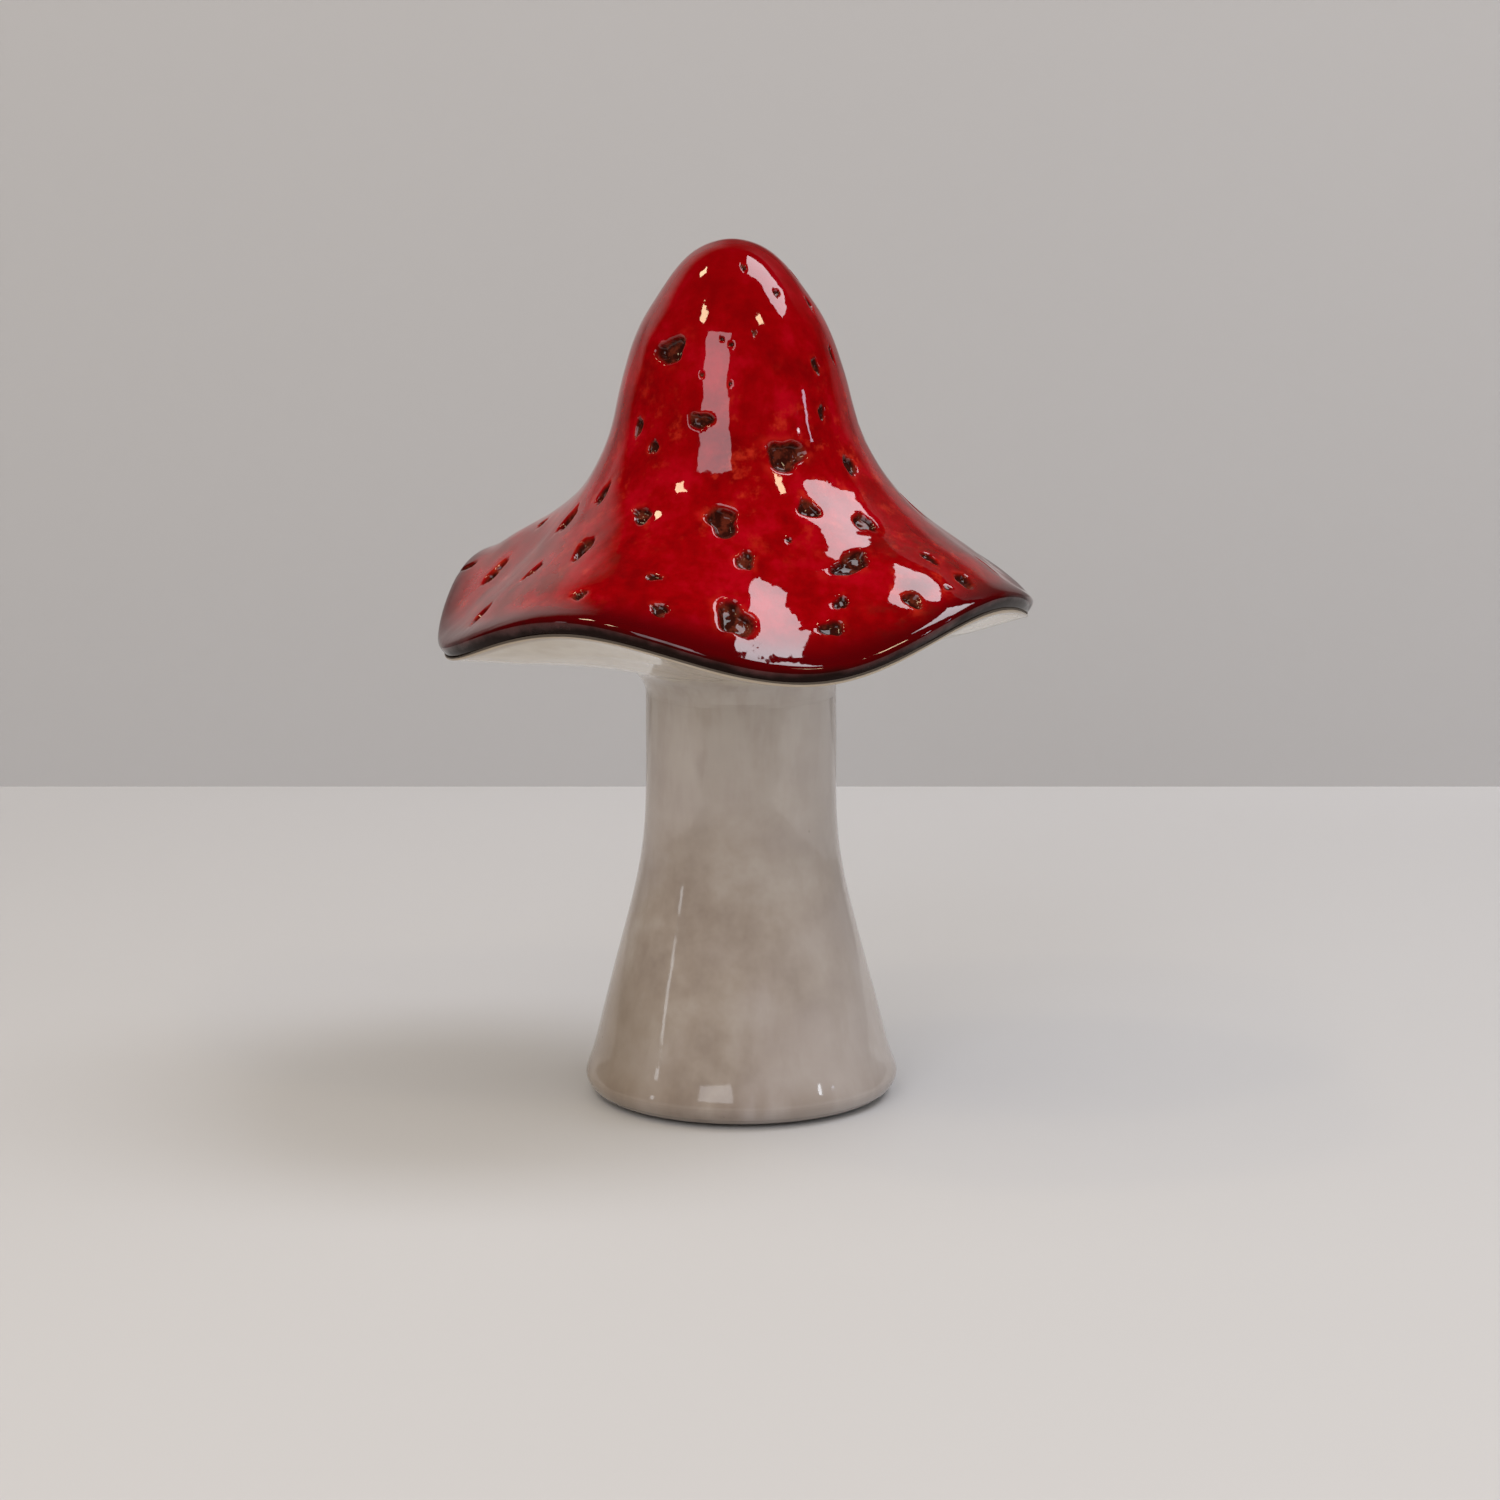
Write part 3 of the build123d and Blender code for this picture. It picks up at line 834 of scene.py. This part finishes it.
# %% Group: taupe wash, its specks and the stroke at the foot
IRON, STROKE_BROWN = colour(0.07, 0.05, 0.04), colour(0.190, 0.142, 0.115)
SPECKS_PER_METRE = 160.0
cells = add(tree, "TexVoronoi", {"Vector": place, "Scale": SPECKS_PER_METRE}).outputs["Distance"]
speck = step_up(tree, cells, 0.075, 0.05)
rare = step_up(tree, noise(tree, place, 0.012, 1.0), 0.60, 0.64)
wash = blend(tree, times(tree, speck, rare), wash, IRON)
axes = add(tree, "SeparateXYZ", {"Vector": place}).outputs
across, level = axes["X"], axes["Z"]
stroke = times(tree, step_up(tree, level, 0.013, 0.006), step_up(tree, level, 0.001, 0.004))
stroke = times(tree, stroke, step_up(tree, noise(tree, brushed, 0.014, 3.0), 0.36, 0.62))
wash = blend(tree, times(tree, stroke, 0.60), wash, STROKE_BROWN)
print("With specks and a stroke:", len(tree.nodes), "nodes")

# %% [markdown]
# The wash isn't the same all over. It thins to a paler grey up the neck. A paler grey on the right
# is painted light, as from a cool light on that side, and a darker brown low on the left is painted
# shade. Heights and distances across the stem, in metres, say where.

# %% Group: taupe wash, thin at the neck, with painted light and shade on its sides
# The neck's grey is the thinner wash, the side grey is painted light and the brown is painted shade
NECK_GREY, PAINTED_LIGHT_GREY = colour(0.455, 0.420, 0.395), colour(0.450, 0.408, 0.388)
PAINTED_SHADE_BROWN = colour(0.225, 0.180, 0.142)
wisps = math_node(tree, "ADD", 0.35, times(tree, step_up(tree, streak, 0.40, 0.62), 0.35))
pale = times(tree, step_up(tree, level, 0.060, 0.105), wisps)
wash = blend(tree, pale, wash, NECK_GREY)
# Painted light: a paler grey on the stem's right side
right = times(tree, step_up(tree, across, -0.004, 0.030), 0.42)
wash = blend(tree, right, wash, PAINTED_LIGHT_GREY)
# Painted shade: a darker brown low on the stem's left side
low = times(tree, step_up(tree, level, 0.052, 0.022), step_up(tree, across, -0.012, -0.032))
wash = blend(tree, times(tree, low, 0.55), wash, PAINTED_SHADE_BROWN)
tree.links.new(wash, result["Color"])
print("Group:", tree.name, "with", len(tree.nodes), "nodes")

# %% [markdown]
# The red glaze is a translucent colour over a brown body. It is cloudy at two sizes at once, so two
# noises are added up before a ramp gives them their reds. It has run down from the crown, which is
# darker. The mesh's masks come in as attributes: in a pit, near a lip, and how far down the bell.

# %% Red glaze: clouds
DARK_RED, RED = colour(0.170, 0.0001, 0.0004), colour(0.250, 0.0001, 0.0010)
BRIGHT_RED, CROWN_RED = colour(0.345, 0.0008, 0.0060), colour(0.165, 0.0001, 0.0005)
red, tree, output, place = new_material("red glaze")
pit, lip, path = (
    add(tree, "Attribute", attribute_name=mask).outputs["Fac"] for mask in ("pit", "lip", "path")
)
clouds = noise(tree, place, 0.013, 4.0, 0.62)
fine = noise(tree, place, 0.0032, 3.0, 0.6)
tone = math_node(tree, "ADD", times(tree, clouds, 0.7), times(tree, fine, 0.3))
base = ramp(tree, tone, [(0.36, DARK_RED), (0.50, RED), (0.64, BRIGHT_RED)])
near_crown = times(tree, step_up(tree, path, 0.40, 0.0), 0.7)
base = blend(tree, near_crown, base, CROWN_RED)
print("Red glaze, clouds:", len(tree.nodes), "nodes")

# %% [markdown]
# Where the glaze is thin the body glows through as orange flecks: in a belt round the bell, on both
# flanks, and on the lips of the pits, where the glaze drew back. Towards the brim's sides, patches
# of painted shade darken it to brown.

# %% Red glaze: thin places, and painted shade on the brim's sides
ORANGE, LIP_ORANGE = colour(0.520, 0.030, 0.012), colour(0.480, 0.022, 0.010)
BRIM_SHADE_BROWN = colour(0.090, 0.016, 0.009)
across = add(tree, "SeparateXYZ", {"Vector": place}).outputs["X"]
sides = step_up(tree, math_node(tree, "ABSOLUTE", across), 0.026, 0.046)
belt = times(tree, step_up(tree, path, 0.30, 0.48), step_up(tree, path, 0.78, 0.58))
wing = times(tree, step_up(tree, path, 0.45, 0.60), step_up(tree, path, 0.97, 0.88))
belt = math_node(tree, "MAXIMUM", belt, times(tree, wing, sides))
fleck = step_up(tree, noise(tree, place, 0.0075, 4.0, 0.7), 0.52, 0.72)
base = blend(tree, times(tree, times(tree, fleck, belt), 0.60), base, ORANGE)
thin = times(tree, lip, step_up(tree, noise(tree, place, 0.005, 2.0), 0.45, 0.65))
base = blend(tree, times(tree, thin, 0.30), base, LIP_ORANGE)
# Painted shade: brown patches on the brim's flanks, where the surface turns away
brim_shade = times(tree, step_up(tree, noise(tree, place, 0.011, 5.0, 0.65), 0.47, 0.62), sides)
brim_shade = times(tree, brim_shade, step_up(tree, path, 0.60, 0.78))
base = blend(tree, times(tree, brim_shade, 0.45), base, BRIM_SHADE_BROWN)
print("Red glaze, thin places:", len(tree.nodes), "nodes")

# %% [markdown]
# Towards the rim the glaze has run and pooled to maroon, and at the rim itself it has run off and
# left the dark stain bare. Both darkenings are partly painted shade on the rolled rim, so the edge
# reads nearly black, and the maroon reaches further up at the front and back than on the flanks.
# The clouds move both borders a little, so that neither is a clean line. In the pits the stain lies
# under the pooled glaze.

# %% Red glaze: rim, pooled glaze and painted shade, and pits
MAROON_AND_SHADE, STAIN_AND_SHADE_BLACK = colour(0.060, 0.0002, 0.0004), colour(0.009, 0.003, 0.002)
PIT_DARK, PIT_BROWN = colour(0.028, 0.005, 0.003), colour(0.110, 0.018, 0.009)
wander = times(tree, math_node(tree, "SUBTRACT", clouds, 0.5), 0.05)
edge = math_node(tree, "ADD", path, wander)
# Painted shade: the maroon and the near-black edge stand partly for shade on the rolled rim
pool_start = math_node(tree, "ADD", 0.850, times(tree, sides, 0.045))
maroon_and_shade = times(tree, step_up(tree, edge, pool_start, 0.958), 0.96)
base = blend(tree, maroon_and_shade, base, MAROON_AND_SHADE)
bare_and_shaded = step_up(tree, edge, 0.962, 0.992)
base = blend(tree, bare_and_shaded, base, STAIN_AND_SHADE_BLACK)
pooled = blend(tree, step_up(tree, fine, 0.46, 0.64), PIT_DARK, PIT_BROWN)
base = blend(tree, pit, base, pooled)
print("Red glaze, rim and pits:", len(tree.nodes), "nodes")

# %% [markdown]
# The glaze is very glossy and mirrors a little more than window glass, so its index of refraction
# is higher. On the bare rim and in the pits there is less glass, and the specular level goes down.

# %% Red glaze: gloss
surface = use(tree, "glaze surface", {"Place": place, "Peel": 0.06, "Peel size": 0.005})
dull = math_node(tree, "MAXIMUM", times(tree, bare_and_shaded, 0.46), times(tree, pit, 0.24))
shine = math_node(tree, "SUBTRACT", 0.5, dull)
finish_glaze(tree, output, base, roughness=0.035, normal=surface["Normal"], ior=1.6, shine=shine)
cap.data.materials.append(red)
print("Material:", red.name, "with", len(tree.nodes), "nodes")

# %% [markdown]
# The underside is cream glaze, with painted shade that browns it at the rim, under the rolled edge.
# Low on the collar it gives way to the stem's wash along a soft, hand-painted edge.

# %% Cream glaze
CREAM_DARK, CREAM = colour(0.530, 0.462, 0.372), colour(0.610, 0.552, 0.468)
CREAM_RIM_SHADE = colour(0.330, 0.270, 0.215)
cream, tree, output, place = new_material("cream glaze")
cloud = noise(tree, place, 0.016, 3.0)
body = blend(tree, step_up(tree, cloud, 0.35, 0.65), CREAM_DARK, CREAM)
level = add(tree, "SeparateXYZ", {"Vector": place}).outputs["Z"]
wander = times(tree, math_node(tree, "SUBTRACT", cloud, 0.5), 0.006)
edge = step_up(tree, math_node(tree, "ADD", level, wander), 0.1160, 0.1195)
wash = use(tree, "taupe wash", {"Place": place})["Color"]
base = blend(tree, edge, wash, body)
# Painted shade: the cream browns at the rim, under the rolled edge
thin = times(tree, add(tree, "Attribute", attribute_name="rim").outputs["Fac"], 0.8)
base = blend(tree, thin, base, CREAM_RIM_SHADE)
surface = use(tree, "glaze surface", {"Place": place, "Peel": 0.05, "Peel size": 0.006})
finish_glaze(tree, output, base, roughness=0.06, normal=surface["Normal"])
underside.data.materials.append(cream)
print("Material:", cream.name, "with", len(tree.nodes), "nodes")

# %% [markdown]
# The stem has the wash under a clear glaze. Both come from the groups, so little is left to say.

# %% Taupe glaze
taupe, tree, output, place = new_material("taupe glaze")
wash = use(tree, "taupe wash", {"Place": place})["Color"]
surface = use(tree, "glaze surface", {"Place": place, "Peel": 0.05, "Peel size": 0.007})
finish_glaze(tree, output, wash, roughness=0.07, normal=surface["Normal"])
stem.data.materials.append(taupe)
print("Material:", taupe.name, "with", len(tree.nodes), "nodes")

# %% [markdown]
# Slip is plain fired clay, matt and slightly grainy. At the rim it has taken up the dark stain of
# the glaze above it, so its colour darkens with the distance from the axis.
# The two slip rings show so little that they keep the CAD model's own shape.

# %% Fired slip
SLIP_DARK, SLIP_PALE = colour(0.560, 0.480, 0.380), colour(0.780, 0.710, 0.600)
SLIP_STAIN = colour(0.085, 0.065, 0.050)
slip, tree, output, place = new_material("fired slip")
grain = noise(tree, place, 0.0012, 4.0, 0.7)
base = blend(tree, grain, SLIP_DARK, SLIP_PALE)
axes = add(tree, "SeparateXYZ", {"Vector": place}).outputs
level_place = add(tree, "CombineXYZ", {"X": axes["X"], "Y": axes["Y"]}).outputs["Vector"]
radius = add(tree, "VectorMath", {0: level_place}, operation="LENGTH").outputs["Value"]
base = blend(tree, step_up(tree, radius, 0.050, 0.060), base, SLIP_STAIN)
rough = add(tree, "Bump", {"Strength": 0.4, "Distance": 0.0004, "Height": grain}).outputs["Normal"]
finish(tree, output, {"Base Color": base, "Roughness": 0.75, "Normal": rough})
for node in ("rim_lute", "neck_lute"):
    lute = frame["nodes"][node]
    lute.data.materials.clear()
    lute.data.materials.append(slip)
print("Material:", slip.name, "with", len(tree.nodes), "nodes")

# %% [markdown]
# Felt is dark and matt with a fibrous fleck. Its loose fibres catch light at the edges, which is
# what the sheen layer does.

# %% Black felt
FELT_DARK, FELT_FLECK = colour(0.012, 0.011, 0.010), colour(0.075, 0.068, 0.060)
felt, tree, output, place = new_material("black felt")
fibres = noise(tree, place, 0.0004, 5.0, 0.8)
base = blend(tree, fibres, FELT_DARK, FELT_FLECK)
fluff = add(tree, "Bump", {"Strength": 0.8, "Distance": 0.0003, "Height": fibres}).outputs["Normal"]
finish(tree, output, {"Base Color": base, "Roughness": 0.95, "Sheen Weight": 0.4, "Normal": fluff})
for piece in bpy.context.scene.objects:
    if piece.name.startswith("felt_pad"):
        piece.data.materials.append(felt)
print("Materials:", ", ".join(material.name for material in (red, cream, taupe, slip, felt)))

# %% [markdown]
# The stage is a plain pale table and a plain pale wall behind it, as in a product photograph.
# A glossy object mirrors far more of the wall than the camera sees. In the mirror image the wall
# fades into shade past the picture's edges, as in a dim room, which draws the soft bright edges
# along the bell. Each fade takes part of the light. It can be spared where another mask holds.
# Places on the wall are in metres: across to the right, and up from the table.

# %% Shade on the mirrored wall
LIT_LEFT, LIT_RIGHT = -0.13, 0.04


def lit(tree, place):
    """How much light the mirrored wall gets: all of it in the middle, less towards the sides."""
    axes = add(tree, "SeparateXYZ", {"Vector": place}).outputs
    across, up = axes["X"], axes["Z"]
    low = step_up(tree, up, 0.12, 0.09)
    low_or_high = math_node(tree, "MAXIMUM", low, step_up(tree, up, 0.22, 0.27))
    # For each fade: the part of the light it takes, its mask, 0 in full shade, and what spares it
    fades = [
        (0.50, step_up(tree, across, 0.14, LIT_RIGHT), low),
        (0.15, step_up(tree, across, -0.20, LIT_LEFT), low_or_high),
        (0.55, step_up(tree, across, 0.34, 0.27), None),
        (1.00, step_up(tree, across, 0.85, 0.45), None),
        (0.86, step_up(tree, up, 0.37, 0.28), step_up(tree, across, 0.00, -0.15)),
        (0.50, step_up(tree, across, -0.37, -0.27), step_up(tree, up, 0.30, 0.37)),
        (1.00, step_up(tree, across, -0.90, -0.50), None),
        (1.00, step_up(tree, up, 0.88, 0.42), None),
    ]
    light = 1.0
    for part, value, spared in fades:
        if spared is not None:
            value = math_node(tree, "MAXIMUM", value, spared)
        light = times(tree, light, math_node(tree, "ADD", times(tree, value, part), 1 - part))
    return light


print(f"Mirrored, the wall is in full light from {LIT_LEFT} to {LIT_RIGHT} m across")

# %% [markdown]
# The paint is matt with very faint clouds. The camera always sees it fully lit, and only mirror
# images and bounced light get the shade. A camera behind the wall or under the table looks through
# it, so that the object shows from all sides, while light still treats the sheet as solid.

# %% Paint of the table and wall
# Size of the clouds in metres, the share of the shade in the darkest, and the matt finish
PAINT_CLOUD, PAINT_DEPTH, PAINT_ROUGHNESS = 0.25, 0.98, 0.6


def paint(name, shade, fade=None):
    """A matt paint, clear to a camera behind it. A fade shades it for all but the camera."""
    material, tree, output, place = new_material(name)
    cloud = noise(tree, place, PAINT_CLOUD, 2.0)
    base = blend(tree, cloud, colour(*(part * PAINT_DEPTH for part in shade)), colour(*shade))
    straight = add(tree, "LightPath").outputs["Is Camera Ray"]
    if fade:
        shaded = math_node(tree, "MAXIMUM", fade(tree, place), straight)
        base = blend(tree, shaded, colour(0, 0, 0), base)
    matt = add(tree, "BsdfPrincipled", {"Base Color": base, "Roughness": PAINT_ROUGHNESS})
    clear = add(tree, "BsdfTransparent").outputs["BSDF"]
    from_behind = times(tree, add(tree, "NewGeometry").outputs["Backfacing"], straight)
    either = add(tree, "MixShader", {"Fac": from_behind, 1: matt.outputs["BSDF"], 2: clear})
    tree.links.new(either.outputs["Shader"], output.inputs["Surface"])
    return material


table_paint = paint("table", (0.555, 0.555, 0.575))
wall_paint = paint("wall", (0.455, 0.455, 0.475), lit)
print("Paints:", table_paint.name, "and", wall_paint.name)

# %% [markdown]
# The table and the wall are two flat sheets, large enough that no edge comes into the picture.
# They meet behind the object, and both belong to the stage, not to the object.

# %% Table and wall
WALL_BACK, WALL_HIGH, WALL_HALF = 403.0, 900.0, 900.0
TABLE_HALF, TABLE_FRONT = 900.0, -330.0


def sheet(name, line, half, material):
    """A sheet swept sideways: a line of (y, z) from x = -half to half."""
    points = [(x * MM, y * MM, z * MM) for y, z in line for x in (-half, half)]
    faces = [(2 * i, 2 * i + 1, 2 * i + 3, 2 * i + 2) for i in range(len(line) - 1)]
    mesh = bpy.data.meshes.new(name)
    mesh.from_pydata(points, [], faces)
    mesh.shade_smooth()
    mesh.materials.append(material)
    piece = bpy.data.objects.new(name, mesh)
    bpy.context.scene.collection.objects.link(piece)
    return piece


table = sheet("table", [(TABLE_FRONT, 0), (WALL_BACK, 0)], TABLE_HALF, table_paint)
wall = sheet("wall", [(WALL_BACK, 0), (WALL_BACK, WALL_HIGH)], WALL_HALF, wall_paint)
print(f"Stage: a table {2 * TABLE_HALF:.0f} mm wide and a wall {WALL_HIGH:.0f} mm high")

# %% [markdown]
# A glossy glaze shows every lamp as a highlight, so each light is placed by the direction that its
# reflection comes from, seen from the cap. Its power is worked out from how bright it should look.
# No light shows to the camera itself, so that views from any side stay clean.

# %% Making a light
CENTRE = np.array([0, 0, 160.0]) * MM


def light(name, place, size, radiance, tint, aim=None):
    """A rectangle of light that faces the cap, unless it is told where to aim."""
    data = bpy.data.lights.new(name, "AREA")
    data.shape = "RECTANGLE"
    data.size, data.size_y = size
    data.energy = radiance * math.pi * size[0] * size[1]
    data.color = tint
    lamp = bpy.data.objects.new(name, data)
    lamp.location = CENTRE + np.array(place)
    way = Vector(-np.array(place) if aim is None else aim)
    lamp.rotation_euler = way.to_track_quat("-Z", "Y").to_euler()
    lamp.visible_camera = False
    bpy.context.scene.collection.objects.link(lamp)


def toward(azimuth, rise, reach):
    """A place in a direction from the cap, in metres."""
    a, e = math.radians(azimuth), math.radians(rise)
    return (reach * math.cos(e) * math.cos(a), reach * math.cos(e) * math.sin(a), reach * math.sin(e))


print("Straight up from the cap is", [round(part, 3) for part in toward(0, 90, 1.0)])

# %% [markdown]
# A big soft panel above and to the right lights the object. It gives the soft shadow on the left
# and the large pale patches on the bell. A tall window stands behind the camera. Four small lamps
# are warm points in the glaze. Two narrow gaps of daylight and a glint draw thin bright lines.

# %% Lights
# Height of the panel and of the lamps above the cap's middle, in metres
REACH = 1.2
DAYLIGHT, WARM, COOL = (0.92, 0.94, 1.0), (1.0, 0.80, 0.50), (0.72, 0.80, 1.0)
PALE_COOL, GLINT = (0.9, 0.95, 1.0), (0.85, 0.92, 1.0)
LAMP_SIZE, LAMP_RADIANCE = (0.16, 0.16), 14.0
LAMPS = [(0.55, -0.57), (-0.64, -0.45), (-0.63, 0.07), (-0.34, 0.73)]
light("soft_panel", (0.79, 0.115, REACH), (0.88, 0.57), 6.2, DAYLIGHT, aim=(0, 0, -1))
light("window", toward(-110, 30, 1.9), (0.85, 1.05), 2.8, DAYLIGHT)
for number, (right, back) in enumerate(LAMPS):
    place = (right * REACH, back * REACH, REACH)
    light(f"lamp_{number + 1}", place, LAMP_SIZE, LAMP_RADIANCE, WARM)
light("daylight_gap_right", toward(-16, 15.5, 1.4), (0.055, 0.22), 6.5, COOL)
light("daylight_gap_left", (-0.552, -0.234, -0.035), (0.03, 0.055), 4.0, PALE_COOL)
light("glint_right", (1.06, -0.56, 0.284), (0.06, 0.14), 12.0, GLINT)

# %% [markdown]
# The room around the stage fills the shadows with soft light, warmer from the left. In reflections
# it is dark, so that the glaze stays deep between its highlights, and the camera sees a plain pale
# grey where it looks past the stage. The kind of ray decides which of the three it meets.

# %% Room
ROOM_LEFT, ROOM_RIGHT = colour(0.93, 0.81, 0.65), colour(0.88, 0.86, 0.82)
ROOM_MIRRORED, ROOM_SEEN = colour(0.010, 0.005, 0.016), colour(0.500, 0.480, 0.465)
world = bpy.data.worlds.new("room")
bpy.context.scene.world = world
world.use_nodes = True
tree = world.node_tree
tree.nodes.clear()
side = add(tree, "SeparateXYZ", {"Vector": add(tree, "TexCoord").outputs["Generated"]}).outputs["X"]
rays = add(tree, "LightPath").outputs
room = blend(tree, step_up(tree, side, -1.0, 1.0), ROOM_LEFT, ROOM_RIGHT)
room = blend(tree, rays["Is Glossy Ray"], room, ROOM_MIRRORED)
room = blend(tree, rays["Is Camera Ray"], room, ROOM_SEEN)
background = add(tree, "Background", {"Color": room})
end = add(tree, "OutputWorld")
tree.links.new(background.outputs["Background"], end.inputs["Surface"])
print("World:", world.name, "with", len(tree.nodes), "nodes")

# %% [markdown]
# The camera stands about 1.2 m away and looks down by 11 degrees. It was found by fitting the
# stem's straight sides and the foot's ellipse in the photograph.

# %% Camera
# Place in millimetres and tilt in degrees
CAMERA_PLACE, CAMERA_DOWN = (2.4, -1170.7, 327.0), 11.27
SENSOR_WIDTH, LENS = 36.0, 107.2
camera = bpy.data.objects.new("camera", bpy.data.cameras.new("camera"))
camera.location = [part * MM for part in CAMERA_PLACE]
camera.rotation_euler = (math.radians(90 - CAMERA_DOWN), 0, 0)
camera.data.sensor_width = SENSOR_WIDTH
camera.data.lens = LENS
bpy.context.scene.collection.objects.link(camera)
bpy.context.scene.camera = camera
bpy.context.scene.view_settings.view_transform = "Standard"
print(f"The camera looks down by {CAMERA_DOWN} degrees through a {LENS} mm lens")
